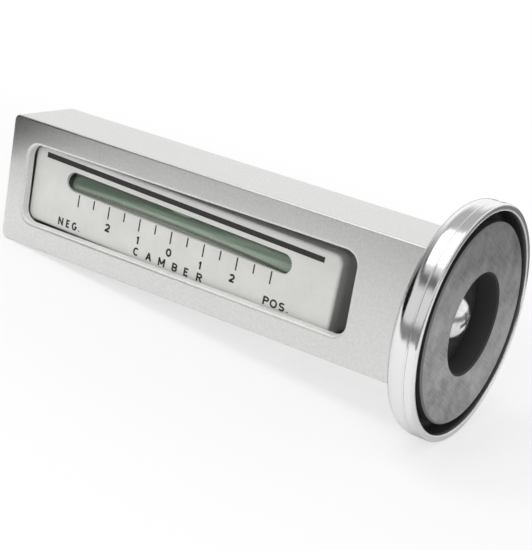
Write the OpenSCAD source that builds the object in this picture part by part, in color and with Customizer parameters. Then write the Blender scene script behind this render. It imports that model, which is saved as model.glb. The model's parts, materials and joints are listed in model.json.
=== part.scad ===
// Magnetic camber gauge: a hollow bar with a windowed front, a dial block with a spirit vial that
// rocks in it to be set to zero, and a round pot magnet on one end.
// Millimetres. Origin at the centre of the magnet's contact face, +X out of that face,
// the dial looks along -Y, +Z up. The bar runs from the magnet towards -X.

/* [Housing] */
// Overall length from the far end of the bar to the magnet's face
overall_l = 156.3; // [150:0.1:170]
// Depth of the bar, front to back
bar_d = 25.4; // [25:0.1:27]
// Height of the bar
bar_h = 39.8; // [39.6:0.1:42]
// Thickness of the front wall, the window's lip
front_wall = 3.0; // [2.5:0.1:3.2]
// Thickness of the top and bottom walls
side_wall = 3.0; // [2.8:0.1:3.2]
// Thickness of the wall at the far end
end_wall = 5.1; // [4.5:0.1:5.2]
// Length of the solid block behind the magnet
end_block = 18.6; // [17:0.1:19]
// Corner radius of the bar's far end, upper corner
corner_upper_r = 2.0; // [1.5:0.1:4]
// Corner radius of the bar's far end, lower corner
corner_lower_r = 2.4; // [1.5:0.1:4]
// Rounding of the bar's long edges
edge_r = 0.6; // [0.4:0.1:1]

/* [Window] */
// Distance from the far end of the bar to the window
window_margin = 7.1; // [6.6:0.1:8]
// Length of the window
window_l = 117.9; // [115:0.1:119]
// Height of the window
window_h = 24.8; // [24:0.1:26]
// Corner radius of the window
window_r = 4.2; // [3:0.1:6]
// Rounding of the window's front rim
window_rim_r = 0.8; // [0.4:0.1:1]

/* [Dial carrier] */
// Length of the dial carrier
carrier_l = 111.8; // [110:0.1:112]
// Upper edge of the dial carrier above the bar's centre line
carrier_up = 12.2; // [11.5:0.1:12.5]
// Lower edge of the dial carrier below the bar's centre line
carrier_down = 12.4; // [12:0.1:12.8]
// Depth of the dial face behind the bar's front face
face_depth = 4.0; // [3.6:0.1:4.2]
// Thickness of the dial plate
dial_plate_t = 5.0; // [4.5:0.1:5.5]
// Rounding of the dial plate's front edges
carrier_edge_r = 1.0; // [0.6:0.1:1.3]
// Length of the vial slot
slot_l = 82.9; // [80:0.1:84]
// Height of the vial slot
slot_h = 6.05; // [5.5:0.05:6.5]
// Height of the slot's middle above the bar's centre line
slot_z = 4.1; // [3.6:0.1:4.3]
// Tilt of the dial carrier, magnet end down, as it was left by the last zero setting (degrees)
carrier_tilt = 1.8; // [0:0.05:1.85]

/* [Vial] */
// Distance between two half-degree marks of the scale
half_degree_pitch = 5.95; // [5.8:0.01:6.1]
// Outer diameter of the glass tube
vial_d = 10; // [9.6:0.1:10.2]
// Inner diameter of the glass tube
vial_bore_d = 8; // [7.6:0.1:8.2]
// Length of the glass tube
vial_l = 87.4; // [86.6:0.1:88]
// Length of the bubble
bubble_l = 12; // [8:0.5:12.4]

/* [Zero adjustment] */
// Diameter of the pivot stud
pivot_d = 4.0; // [3.5:0.1:4.5]
// Distance from the pivot to the zero screw
pivot_to_screw = 99.5; // [99:0.1:99.8]
// Diameter of the zero screw
zero_screw_d = 4.17; // [4:0.01:4.4]
// Diameter of the trunnion nut
trunnion_d = 7.5; // [7:0.1:7.6]
// Wire diameter of the spring
spring_wire_d = 0.8; // [0.6:0.1:0.9]
// Number of turns of the spring
spring_turns = 5; // [4:1:6]

/* [Magnet] */
// Outer diameter of the magnet's steel cup
cup_d = 66.8; // [64:0.1:70]
// Depth of the cup
cup_depth = 8.8; // [8.5:0.1:9.5]
// Thickness of the cup's rim
cup_wall = 1.85; // [1.5:0.05:2]
// Thickness of the cup's floor
cup_floor = 2.0; // [1.8:0.1:2.2]
// Outer diameter of the ferrite ring
ferrite_d = 56.8; // [55:0.1:58]
// Diameter of the hole in the ferrite ring
ferrite_hole_d = 28.4; // [26:0.1:30]
// Diameter of the magnet screw
magnet_screw_d = 6.35; // [6:0.01:6.4]

/* [Back cover] */
// Thickness of the back cover
cover_t = 2.0; // [1.8:0.1:2.2]
// Width of the bar's rim round the back cover
cover_rim = 1.8; // [1.6:0.1:2]
// Diameter of the cover screws
cover_screw_d = 2.5; // [2.4:0.1:2.6]

/* [Hidden] */
$fn = 64;
// Small overlap that keeps cuts clean
cut = 0.1;

// Faces of the bar
far_x = -overall_l;
near_x = -cup_depth;
front_y = -bar_d / 2;
back_y = bar_d / 2;
half_h = bar_h / 2;
// Hollow inside the bar
cavity_x0 = far_x + end_wall;
cavity_x1 = near_x - end_block;
cavity_y = front_y + front_wall;
cavity_h = bar_h - 2 * side_wall;
floor_z = -cavity_h / 2;
ledge_y = back_y - cover_t;
near_corner_r = 1.2;
// Window
window_x0 = far_x + window_margin;
// Screws of the back cover, and the pillars they go into
pillar_r = 3.0;
pillar_inset = cover_rim + 3.0;
pillar_x0 = far_x + pillar_inset;
pillar_x1 = near_x - 8.2;
pillar_z = half_h - 4.7;
cover_gap = 0.15;
cover_r = 2.4;
// Dial carrier, in the position where it lies level with the bar
dial_y = front_y + face_depth;
carrier_x0 = window_x0 - 0.6;
carrier_x1 = carrier_x0 + carrier_l;
carrier_corner_r = 3.0;
carrier_low_corner_r = 1.4;
carrier_back_y = 6.3;
rear_inset = 1.0;
rear_up = 11.0;
rear_down = 9.0;
rear_end_l = 12.8;
parting_step = 0.15;
rear_r = 2.0;
// Pivot and zero screw
pivot_x = carrier_x0 + 5.6;
pivot_z = -0.4;
pivot_bore_y = dial_y + 2.7;
boss_r = 4.2;
boss_y = 8.2;
pivot_gap = 0.04;
stud_tail_r = 1.5;
screw_x = pivot_x + pivot_to_screw;
// The cross nut swings along a shallow arc, so the screw stands at the middle of it
screw_axis_x = screw_x - 0.03;
screw_clearance_r = zero_screw_d / 2 + 0.9;
trunnion_gap = 0.05;
trunnion_l = 11.2;
spring_r = 3.2;
spring_pocket_r = 4.3;
spring_pocket_z = -6.2;
// Vial: its arch has the radius at which half a degree of tilt moves the bubble by one pitch
arch_r = half_degree_pitch / (0.5 * PI / 180);
vial_x = window_x0 + 54.45;
vial_y = -2.7;
vial_z = slot_z - 0.4;
trough_gap = 0.25;
trough_end_gap = 0.3;
plug_l = 2.5;
plug_flange_l = 0.8;
channel_z = 1.2;
bubble_gap = 0.3;
bubble_r = vial_bore_d / 2 - bubble_gap;
retainer_t = 1.8;
retainer_screw_x = 20;
retainer_screw_z = -5.2;
pad_x = 30;
// Magnet
lip_r = cup_d / 2 - cup_wall;
cup_inside_x = -cup_depth + cup_floor;
washer_t = 1.2;
head_seat_x = cup_inside_x + washer_t;
magnet_screw_gap = 0.06;

// ---------- helpers ----------

// An outline in the XZ plane is [x0, x1, z0, z1, [four corner radii]], the radii in the order
// lower left, upper left, lower right, upper right.
function outline(x0, x1, z0, z1, r) = [x0, x1, z0, z1, [r, r, r, r]];

function grown(o, by) = [o[0] - by, o[1] + by, o[2] - by, o[3] + by, [for (r = o[4]) r + by]];

// Corner arcs of an outline: centre x, centre z, radius, and which way the corner points
function corner_arcs(o) = [
    [o[0] + o[4][0], o[2] + o[4][0], o[4][0], -1, -1],
    [o[0] + o[4][1], o[3] - o[4][1], o[4][1], -1, 1],
    [o[1] - o[4][2], o[2] + o[4][2], o[4][2], 1, -1],
    [o[1] - o[4][3], o[3] - o[4][3], o[4][3], 1, 1]];

// Flat plate of an outline, from y0 to y1
module slab(o, y0, y1) {
    translate([0, y1, 0]) rotate([90, 0, 0]) linear_extrude(y1 - y0) {
        difference() {
            translate([o[0], o[2]]) square([o[1] - o[0], o[3] - o[2]]);
            for (c = corner_arcs(o))
                translate([c[0], c[1]]) translate(c[2] / 2 * [c[3], c[4]] + cut / 2 * [c[3], c[4]])
                    square(c[2] + cut, center = true);
        }
        for (c = corner_arcs(o))
            translate([c[0], c[1]]) circle(c[2]);
    }
}

// Hull of an outline whose rim is rounded at its front face, and at its back face if both is set
module soft_slab(o, rim, y0, y1, both) {
    hull() for (c = corner_arcs(o))
        translate([c[0], y0, c[1]]) rotate([-90, 0, 0]) rotate_extrude($fn = 48) intersection() {
            square([c[2], y1 - y0]);
            union() {
                for (y = both ? [rim, y1 - y0 - rim] : [rim])
                    translate([c[2] - rim, y]) circle(rim, $fn = 32);
                translate([0, rim]) square([c[2], y1 - y0 - (both ? 2 : 1) * rim]);
            }
        }
}

// Cylinder along Y from y0 to y1, centred at x, z
module pin_y(x, z, r, y0, y1) {
    translate([x, y0, z]) rotate([-90, 0, 0]) cylinder(r = r, h = y1 - y0);
}

// Cylinder along Z from z0 to z1, centred at x, y
module pin_z(x, y, r, z0, z1) {
    translate([x, y, z0]) cylinder(r = r, h = z1 - z0);
}

// Shape turned about the X axis from a profile drawn as [radius, x]
module turned_x() {
    rotate([0, 90, 0]) rotate_extrude($fn = 96) children();
}

// Puts the pieces of the dial carrier where the last zero setting left them
module as_set() {
    translate([pivot_x, 0, pivot_z]) rotate([0, carrier_tilt, 0])
        translate([-pivot_x, 0, -pivot_z]) children();
}

// Sweeps a profile along the arch of the vial, over a given arc length centred on the scale's zero.
// The profile's x is the height above the vial's axis, its y is the depth behind it.
module along_arch(l) {
    angle = l / arch_r * 180 / PI;
    translate([vial_x, vial_y, vial_z - arch_r]) rotate([-90, 0, 0]) rotate([0, 0, -90 - angle / 2])
        rotate_extrude(angle = angle, $fn = 720) translate([arch_r, 0]) children();
}

// ---------- housing and back cover ----------

// Outer form of the bar, with its rounded edges
module bar_outer() {
    o = [far_x, near_x, -half_h, half_h, [corner_lower_r, corner_upper_r, near_corner_r, near_corner_r]];
    soft_slab(o, edge_r, front_y, back_y, true);
}

// Window with its front rim rounded in three steps of a quarter circle
module window_opening() {
    o = outline(window_x0, window_x0 + window_l, -window_h / 2, window_h / 2, window_r);
    slab(o, front_y - cut, cavity_y + cut);
    for (a = [0, 30, 60])
        hull() for (b = [a, a + 30], c = corner_arcs(o))
            translate([c[0], front_y + window_rim_r * (1 - cos(b)) - 0.01, c[1]]) rotate([-90, 0, 0])
                cylinder(r = c[2] + window_rim_r * (1 - sin(b)), h = 0.01, $fn = 48);
}

// Outline of the back cover's recess, or of the cover itself when inset by its gap
function cover_outline(inset) =
    grown(outline(far_x, near_x, -half_h, half_h, cover_r + cover_rim), -cover_rim - inset);

module housing() color([0.80, 0.80, 0.79]) {
    tapped_l = 7;
    difference() {
        bar_outer();
        window_opening();
        difference() {
            slab(outline(cavity_x0, cavity_x1, floor_z, -floor_z, 2.0), cavity_y, back_y + cut);
            for (z = [-1, 1])
                pin_y(pillar_x0, z * pillar_z, pillar_r, cavity_y - cut, back_y + cut);
        }
        slab(cover_outline(0), ledge_y, back_y + cut);
        for (x = [pillar_x0, pillar_x1], z = [-1, 1])
            pin_y(x, z * pillar_z, cover_screw_d / 2 + 0.02, ledge_y - tapped_l, ledge_y + cut);
        translate([-24, 0, 0]) rotate([0, 90, 0])
            cylinder(r = magnet_screw_d / 2 + magnet_screw_gap, h = 24);
        pin_z(screw_axis_x, 0, zero_screw_d / 2 + 0.08, -half_h - cut, floor_z + cut);
        pin_z(screw_axis_x, 0, 4.9, -half_h - cut, -half_h + 1.4);
    }
}

module back_cover() color([0.72, 0.72, 0.72]) {
    difference() {
        slab(cover_outline(cover_gap), ledge_y, back_y);
        for (x = [pillar_x0, pillar_x1], z = [-1, 1])
            translate([x, 0, z * pillar_z]) {
                pin_y(0, 0, cover_screw_d / 2 + 0.15, ledge_y - cut, back_y + cut);
                translate([0, back_y, 0]) rotate([90, 0, 0])
                    cylinder(r1 = cover_screw_d, r2 = cover_screw_d / 2, h = cover_screw_d / 2);
            }
        pin_y(pivot_x, pivot_z, stud_tail_r, ledge_y - cut, back_y + cut);
    }
}

// Countersunk screw along -Y with a straight slot, its head's face at the origin
module countersunk_screw(d, l) {
    gap = 0.03;
    difference() {
        rotate([90, 0, 0]) rotate_extrude() difference() {
            union() {
                square([d / 2, l]);
                polygon([[0, 0], [d - gap, 0], [d / 2, d / 2 - gap], [0, d / 2 - gap]]);
            }
            polygon([[d / 2 - 0.4, l], [d / 2 + cut, l + cut], [d / 2 + cut, l - 0.4]]);
        }
        translate([-d, -0.6, -0.3]) cube([2 * d, 0.7, 0.6]);
    }
}

module cover_screws() color([0.62, 0.62, 0.64])
    for (x = [pillar_x0, pillar_x1], z = [-1, 1])
        translate([x, back_y, z * pillar_z]) countersunk_screw(cover_screw_d, 8);

// Stud staked in the cover: tail, flange and the shank the carrier rocks on
module pivot_stud() color([0.60, 0.60, 0.62]) {
    flange_t = 1.5;
    pin_y(pivot_x, pivot_z, stud_tail_r - 0.01, ledge_y, back_y);
    pin_y(pivot_x, pivot_z, 4.5, ledge_y - flange_t, ledge_y);
    pin_y(pivot_x, pivot_z, pivot_d / 2, pivot_bore_y + 0.5, ledge_y - flange_t);
}

module pivot_washer() color([0.92, 0.91, 0.88]) {
    gap = 0.05;
    difference() {
        pin_y(pivot_x, pivot_z, 4.0, boss_y + gap, ledge_y - 1.5 - gap);
        pin_y(pivot_x, pivot_z, pivot_d / 2 + 0.1, boss_y, ledge_y);
    }
}

// ---------- dial carrier and vial ----------

// Dial plate with rounded front edges and corners
module dial_plate() {
    r = carrier_corner_r;
    o = [carrier_x0, carrier_x1, -carrier_down, carrier_up, [r, r, carrier_low_corner_r, r]];
    soft_slab(o, carrier_edge_r, dial_y, dial_y + dial_plate_t, false);
}

// Solid back of the carrier, which holds the trough, the pivot bore and, in its full-height end,
// the cross nut
module carrier_rear() {
    plate_back_y = dial_y + dial_plate_t - cut;
    slab(outline(carrier_x0 + rear_inset, carrier_x1 - rear_inset, -rear_down, rear_up, rear_r),
         plate_back_y, carrier_back_y);
    end_face = [carrier_x1 - rear_end_l, carrier_x1 - parting_step, -carrier_down + parting_step, rear_up,
        [rear_r, rear_r, carrier_low_corner_r, rear_r]];
    slab(end_face, plate_back_y, carrier_back_y);
    pin_y(pivot_x, pivot_z, boss_r, carrier_back_y - cut, boss_y);
}

// Arched trough that the vial lies in, open to the back
module vial_trough() {
    r = vial_d / 2 + trough_gap;
    along_arch(vial_l + 2 * plug_flange_l + 2 * trough_end_gap) {
        circle(r);
        translate([-r, 0]) square([2 * r, carrier_back_y - vial_y + cut]);
    }
}

// Straight slot with round ends, through which the vial is read
module vial_slot() {
    r = slot_h / 2;
    l = slot_l / 2 - r;
    translate([0, vial_y, 0]) rotate([90, 0, 0]) linear_extrude(vial_y - dial_y + cut) {
        translate([vial_x - l, slot_z - r]) square([2 * l, slot_h]);
        for (x = [-l, l])
            translate([vial_x + x, slot_z]) circle(r);
    }
}

// Outline of the retainer, shared by its recess and the plate itself
module retainer_blank(by, y1) {
    slab(grown(outline(vial_x - 45.2, vial_x + 45.2, -8.2, 10.2, 2.0), by),
         carrier_back_y - retainer_t, y1);
}

module retainer_screw_places() {
    for (x = [-1, 1])
        translate([vial_x + x * retainer_screw_x, 0, retainer_screw_z]) children();
}

module dial_carrier() color([0.93, 0.93, 0.91]) as_set() difference() {
    union() {
        dial_plate();
        carrier_rear();
    }
    vial_trough();
    vial_slot();
    retainer_blank(0.2, carrier_back_y + cut);
    retainer_screw_places() pin_y(0, 0, 1.12, -2, carrier_back_y);
    pin_y(pivot_x, pivot_z, pivot_d / 2 + pivot_gap, pivot_bore_y, boss_y + cut);
    pin_y(screw_x, pivot_z, trunnion_d / 2 + trunnion_gap, -trunnion_l / 2 - 0.3, carrier_back_y + cut);
    pin_z(screw_x, 0, screw_clearance_r, -carrier_down - cut, carrier_up - 1.6);
    pin_z(screw_x, 0, spring_pocket_r, -carrier_down - cut, spring_pocket_z);
}

module glass_vial() color([0.75, 0.80, 0.80, 0.5]) as_set() along_arch(vial_l)
    difference() {
        circle(vial_d / 2);
        circle(vial_bore_d / 2);
    }

// Liquid, with the channel along its top that the bubble runs in left free
module vial_liquid() color([0.35, 0.40, 0.36]) as_set()
    along_arch(vial_l - 2 * plug_l - 0.1) difference() {
        circle(vial_bore_d / 2 - 0.03);
        translate([channel_z, -vial_bore_d]) square(2 * vial_bore_d);
    }

// Bubble: its top follows the tube, its underside is level and its ends are round
module air_bubble() color([0.85, 0.88, 0.85, 0.6]) as_set() intersection() {
    end_r = 3.4;
    end_x = bubble_l / 2 - end_r;
    along_arch(2 * bubble_l) difference() {
        circle(bubble_r);
        translate([channel_z + bubble_gap - 2 * vial_bore_d, -vial_bore_d]) square(2 * vial_bore_d);
    }
    translate([vial_x, vial_y, vial_z]) linear_extrude(vial_bore_d) {
        for (x = [-end_x, end_x])
            translate([x, 0]) circle(end_r);
        square([2 * end_x, 2 * end_r], center = true);
    }
}

// Stopper at one end of the tube: a plug in the bore and a flange on the rim
module vial_plug(side) color([0.25, 0.25, 0.26]) as_set() {
    half_angle = vial_l / 2 / arch_r * 180 / PI;
    translate([vial_x, vial_y, vial_z - arch_r]) rotate([0, side * half_angle, 0])
        translate([0, 0, arch_r]) rotate([0, side * 90, 0]) {
            translate([0, 0, -plug_l]) cylinder(r = vial_bore_d / 2 - 0.05, h = plug_l);
            translate([0, 0, 0.02]) cylinder(r = vial_d / 2 - 0.4, h = plug_flange_l);
            cylinder(r = vial_bore_d / 2 - 0.05, h = plug_flange_l);
        }
}

module vial_plug_left() vial_plug(-1);

module vial_plug_right() vial_plug(1);

// Two soft pads, hollowed to the tube, between it and the retainer
module vial_pads() color([0.20, 0.20, 0.20]) as_set() difference() {
    for (x = [-1, 1])
        translate([vial_x + x * pad_x - 5, vial_y + 3, vial_z - 4])
            cube([10, carrier_back_y - retainer_t - vial_y - 3, 7.5]);
    along_arch(vial_l) circle(vial_d / 2 + 0.03);
}

module vial_retainer() color([0.70, 0.70, 0.71]) as_set() difference() {
    retainer_blank(0, carrier_back_y);
    retainer_screw_places() pin_y(0, 0, 1.3, 0, back_y);
}

module retainer_screws() color([0.62, 0.62, 0.64]) as_set() retainer_screw_places() {
    head_r = 2.1;
    head_t = 1.4;
    difference() {
        union() {
            pin_y(0, 0, 1.1, -1, carrier_back_y + 0.02);
            pin_y(0, 0, head_r, carrier_back_y + 0.02, carrier_back_y + head_t);
        }
        translate([-head_r - cut, carrier_back_y + head_t - 0.6, -0.25])
            cube([2 * (head_r + cut), 1, 0.5]);
    }
}

// ---------- zero adjustment ----------

// Cross nut: stays upright on the screw while the carrier rocks round it
module trunnion_nut() color([0.80, 0.68, 0.38]) {
    swing_x = pivot_x + pivot_to_screw * cos(carrier_tilt);
    swing_z = pivot_z - pivot_to_screw * sin(carrier_tilt);
    difference() {
        pin_y(swing_x, swing_z, trunnion_d / 2, -trunnion_l / 2, trunnion_l / 2);
        pin_z(screw_axis_x, 0, zero_screw_d / 2 + 0.09, swing_z - trunnion_d, swing_z + trunnion_d);
        translate([swing_x - 0.5, trunnion_l / 2 - 0.8, swing_z - trunnion_d]) cube([1, 1, 2 * trunnion_d]);
    }
}

module zero_screw() color([0.70, 0.70, 0.72]) translate([screw_axis_x, 0, -half_h + 1.4]) {
    head_r = 4.4;
    head_t = 3.0;
    shank_l = 24.9;
    tip = 0.6;
    r = zero_screw_d / 2;
    difference() {
        rotate_extrude() {
            polygon([[0, 0], [r, 0], [r, shank_l - tip], [r - tip, shank_l], [0, shank_l]]);
            translate([0, -head_t + 0.5]) square([head_r, head_t - 0.5]);
            translate([0, -head_t]) square([head_r - 0.5, head_t]);
            translate([head_r - 0.5, -head_t + 0.5]) circle(0.5, $fn = 24);
        }
        translate([-head_r - cut, -0.6, -head_t - cut]) cube([2 * (head_r + cut), 1.2, 1.4 + cut]);
    }
}

// Ring of points round the wire of the spring at a turn count t
spring_sides = 6;
spring_steps = 8;
function spring_centre(t, h) = [spring_r * cos(360 * t), spring_r * sin(360 * t), h * t / spring_turns];
function spring_ring(t, h) = [for (k = [0 : spring_sides - 1])
    let (a = 360 * k / spring_sides, r = spring_wire_d / 2)
    spring_centre(t, h) + r * [cos(a) * cos(360 * t), cos(a) * sin(360 * t), sin(a)]];

// Compression spring as one unbroken tube, standing on the floor of the bar
module carrier_spring() color([0.55, 0.55, 0.57]) {
    roof_z = pivot_z + (spring_pocket_z - pivot_z) * cos(carrier_tilt) - pivot_to_screw * sin(carrier_tilt);
    h = roof_z - floor_z - spring_wire_d - 0.25;
    n = spring_turns * spring_steps;
    echo(spring_least_gap_mm = h / spring_turns - spring_wire_d);
    rings = [for (i = [0 : n]) spring_ring(i / spring_steps, h)];
    points = [for (ring = rings) each ring];
    sides = [for (i = [0 : n - 1], k = [0 : spring_sides - 1])
        let (a = i * spring_sides + k, b = i * spring_sides + (k + 1) % spring_sides)
        each [[a, b, b + spring_sides], [a, b + spring_sides, a + spring_sides]]];
    first = [for (k = [1 : spring_sides - 2]) [0, k + 1, k]];
    last_i = n * spring_sides;
    last = [for (k = [1 : spring_sides - 2]) [last_i, last_i + k, last_i + k + 1]];
    translate([screw_axis_x, 0, floor_z + spring_wire_d / 2]) polyhedron(points, concat(sides, first, last));
}

// ---------- magnet ----------

// Pressed cup: rounded back corner, a fine rolled line, a softened lip
module magnet_cup() color([0.85, 0.85, 0.86]) turned_x() {
    r = cup_d / 2;
    back_r = 4.0;
    lip_round = 0.5;
    line_x = -2.6;
    difference() {
        translate([0, -cup_depth]) square([r, cup_depth]);
        translate([0, cup_inside_x + 1.5]) square([lip_r, cup_depth]);
        translate([0, cup_inside_x]) square([lip_r - 1.5, cup_depth]);
        translate([lip_r - 1.5, cup_inside_x + 1.5]) circle(1.5);
        difference() {
            translate([r - back_r, -cup_depth - cut]) square([back_r + cut, back_r + cut]);
            translate([r - back_r, -cup_depth + back_r]) circle(back_r);
        }
        difference() {
            translate([r - lip_round, -lip_round]) square(lip_round + cut);
            translate([r - lip_round, -lip_round]) circle(lip_round);
        }
        translate([r + 0.15, line_x]) circle(0.4, $fn = 24);
        translate([0, -cup_depth - cut]) square([magnet_screw_d / 2 + 0.2, cup_depth]);
    }
}

module ferrite_ring() color([0.45, 0.45, 0.46]) turned_x() {
    r0 = ferrite_hole_d / 2;
    r1 = ferrite_d / 2;
    x0 = cup_inside_x + 0.02;
    c = 0.5;
    polygon([[r0, x0], [r1, x0], [r1, -c], [r1 - c, 0], [r0 + c, 0], [r0, -c]]);
}

// Cross recess cut into the screw's head
module cross_recess(l, w, depth) {
    for (a = [0, 90])
        rotate([a, 0, 0]) translate([-depth, -l / 2, -w / 2]) cube([depth + 2, l, w]);
}

module magnet_screw() color([0.85, 0.85, 0.86]) {
    head_r = 6.1;
    head_t = 3.4;
    shank_end = -22;
    dome_r = 8.6;
    r = magnet_screw_d / 2;
    top_x = head_seat_x + head_t;
    difference() {
        turned_x() {
            intersection() {
                translate([0, head_seat_x]) square([head_r, head_t]);
                translate([0, top_x - dome_r]) circle(dome_r, $fn = 96);
            }
            translate([0, shank_end + 0.8]) square([r, head_seat_x - shank_end]);
            polygon([[0, shank_end], [r - 0.8, shank_end], [r, shank_end + 0.8], [0, shank_end + 0.8]]);
        }
        translate([top_x, 0, 0]) rotate([25, 0, 0]) cross_recess(5.6, 1.2, 1.5);
    }
}

// Split spring washer under the head
module screw_lock_washer() color([0.60, 0.60, 0.62]) difference() {
    turned_x() translate([magnet_screw_d / 2 + 0.2, cup_inside_x + 0.02])
        square([2.5, washer_t - 0.04]);
    translate([cup_inside_x - 1, 2, -0.4]) cube([4, 6, 0.8]);
}

housing();
back_cover();
cover_screws();
pivot_stud();
pivot_washer();
dial_carrier();
glass_vial();
vial_liquid();
air_bubble();
vial_plug_left();
vial_plug_right();
vial_pads();
vial_retainer();
retainer_screws();
trunnion_nut();
zero_screw();
carrier_spring();
magnet_cup();
ferrite_ring();
magnet_screw();
screw_lock_washer();
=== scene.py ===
"""Looks of a magnetic camber gauge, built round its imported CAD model.

The gauge is a hollow bar with a windowed front. A white dial block with a spirit vial rocks in it,
and a chrome-plated pot magnet is screwed to one end. The frame's origin is the centre of the
magnet's contact face, +X points out of the magnet, the dial looks along -Y and +Z is up.
"""

from __future__ import annotations

import json
import logging
import math
from dataclasses import dataclass
from enum import Enum

import bpy
import numpy as np
from mathutils import Matrix, Vector

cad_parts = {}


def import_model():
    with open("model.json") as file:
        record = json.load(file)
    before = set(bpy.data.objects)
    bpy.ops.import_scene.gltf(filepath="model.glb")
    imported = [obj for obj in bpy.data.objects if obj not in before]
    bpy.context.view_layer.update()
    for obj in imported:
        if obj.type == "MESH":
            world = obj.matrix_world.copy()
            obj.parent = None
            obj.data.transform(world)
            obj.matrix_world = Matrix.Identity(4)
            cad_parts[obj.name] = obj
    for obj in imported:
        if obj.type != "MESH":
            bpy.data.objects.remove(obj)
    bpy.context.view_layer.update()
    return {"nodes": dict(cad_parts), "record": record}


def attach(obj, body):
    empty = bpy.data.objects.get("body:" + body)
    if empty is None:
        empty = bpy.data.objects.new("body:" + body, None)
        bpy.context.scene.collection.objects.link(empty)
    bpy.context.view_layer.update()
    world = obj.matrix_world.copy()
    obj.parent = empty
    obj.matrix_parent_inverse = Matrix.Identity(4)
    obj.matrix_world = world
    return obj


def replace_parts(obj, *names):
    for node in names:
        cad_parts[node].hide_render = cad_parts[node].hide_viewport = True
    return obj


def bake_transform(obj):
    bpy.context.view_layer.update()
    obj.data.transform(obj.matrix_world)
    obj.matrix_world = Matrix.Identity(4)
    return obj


MM = 0.001

logging.basicConfig(level=logging.INFO, format="%(message)s")
log = logging.getLogger("gauge")


class Body(Enum):
    """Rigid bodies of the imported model."""

    HOUSING = "housing"
    CARRIER = "carrier"
    BUBBLE = "bubble"


# ---------------------------------------------------------------- sizes


@dataclass(frozen=True)
class CarrierSeat:
    """Where the dial block sits: it is turned about its pivot by the last zero setting.

    Lengths are in millimetres, the tilt in degrees. The other sizes of the dial block's pieces are
    given as if it lay level with the bar, and `place` turns them to where it was left.
    """

    pivot_x: float = -144.2
    pivot_z: float = -0.4
    tilt: float = 1.8
    face_y: float = -8.7

    def place(self, points: np.ndarray) -> np.ndarray:
        """Turns points of the level dial block to its set position.

        Args:
            points: Array (..., 3) in millimetres.

        Returns:
            Array of the same shape, in metres.
        """
        a = math.radians(self.tilt)
        dx = points[..., 0] - self.pivot_x
        dz = points[..., 2] - self.pivot_z
        x = self.pivot_x + dx * math.cos(a) + dz * math.sin(a)
        z = self.pivot_z - dx * math.sin(a) + dz * math.cos(a)
        return np.stack([x, points[..., 1], z], axis=-1) * MM


@dataclass(frozen=True)
class ScalePrint:
    """Printed marks of the dial, in millimetres, on the level dial block."""

    zero_x: float = -94.9
    half_degree: float = 5.95
    tick_top_z: float = 0.8
    long_tick: float = 3.95
    short_tick: float = 2.9
    tick_width: float = 0.46
    ticks_each_way: int = 6
    rule_x0: float = -145.2
    rule_x1: float = -43.5
    rule_z: float = 9.42
    rule_height: float = 1.66
    glyph_height: float = 2.6
    number_z: float = -5.78
    number_stroke: float = 0.62
    word_z: float = -9.42
    last_word_z: float = -8.25
    word_stroke: float = 0.56
    film: float = 0.02


@dataclass(frozen=True)
class Letter:
    """One printed glyph: its character, centre and outer width in millimetres."""

    text: str
    x: float
    width: float


@dataclass(frozen=True)
class VialSizes:
    """Arched vial, in millimetres: the arch passes through the point (x, z) of the level block."""

    x: float = -94.75
    y: float = -2.7
    z: float = 3.7
    arch_radius: float = 681.82
    bore_radius: float = 4.0
    filling_length: float = 82.2
    bubble_length: float = 12.0
    bubble_half_angle: float = 62.0
    bubble_squareness: float = 0.72
    bubble_gap: float = 0.008
    bubble_skin: float = 0.01
    bubble_dip: float = 0.02
    filling_gap: float = 0.04
    filling_end_round: float = 0.5


@dataclass(frozen=True)
class SpringSizes:
    """Compression spring under the dial block, in millimetres, along the centre line of its wire."""

    x: float = -44.73
    low_z: float = -16.5
    height: float = 6.53
    coil_radius: float = 3.2
    wire_radius: float = 0.4
    turns: int = 5


@dataclass(frozen=True)
class RestingPlane:
    """Plane the gauge lies on, touching the pot magnet's rim and the bar's far lower edge.

    The plane falls towards the magnet by `slope` degrees and passes `depth` millimetres under
    the frame's origin, measured square to it.
    """

    slope: float = 5.176
    depth: float = 33.713


@dataclass(frozen=True)
class Paper:
    """Oval sheet under the gauge: its middle and half axes in metres, and how it fades to white.

    From `fade_from` to `fade_to` of its radius, the share of plain white that the camera sees
    rises from `white_inside` to one.
    """

    middle: tuple[float, float, float] = (-0.075, 0.03, 0.0)
    half_x: float = 0.26
    half_y: float = 0.171
    fade_from: float = 0.45
    fade_to: float = 0.95
    white_inside: float = 0.66


@dataclass(frozen=True)
class Card:
    """Black card left of the bar, in metres: it stands square to X."""

    x: float = -0.178
    y0: float = -0.17
    y1: float = -0.018
    z0: float = -0.001
    z1: float = 0.09


@dataclass(frozen=True)
class Shot:
    """Camera of the picture: place in millimetres, angles in degrees, lens for a 36 mm wide sensor."""

    place: tuple[float, float, float] = (140.669, -352.126, 120.312)
    turn: tuple[float, float, float] = (1.765, 0.647, -0.247)
    focal_px: float = 1475.73
    width_px: int = 532
    sensor: float = 36.0


SEAT = CarrierSeat()
PRINT = ScalePrint()
VIAL = VialSizes()
SPRING = SpringSizes()
PLANE = RestingPlane()
PAPER = Paper()
CARD = Card()
SHOT = Shot()

# Character, centre and width of each glyph, in millimetres
NUMBERS = (("2", -118.3, 2.0), ("1", -106.5, 1.3), ("0", -94.8, 2.05), ("1", -83.2, 1.3), ("2", -71.75, 2.0))
WORDS = (
    ("C", -106.4, 2.2), ("A", -101.6, 2.3), ("M", -96.7, 2.5), ("B", -91.85, 1.95), ("E", -87.5, 1.85),
    ("R", -82.75, 2.05), ("N", -136.3, 2.0), ("E", -133.35, 1.6), ("G", -130.8, 2.0), (".", -128.9, 0.45))
LAST_WORD = (("P", -59.25, 2.05), ("O", -56.65, 2.5), ("S", -53.85, 2.1), (".", -51.8, 0.5))


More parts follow.
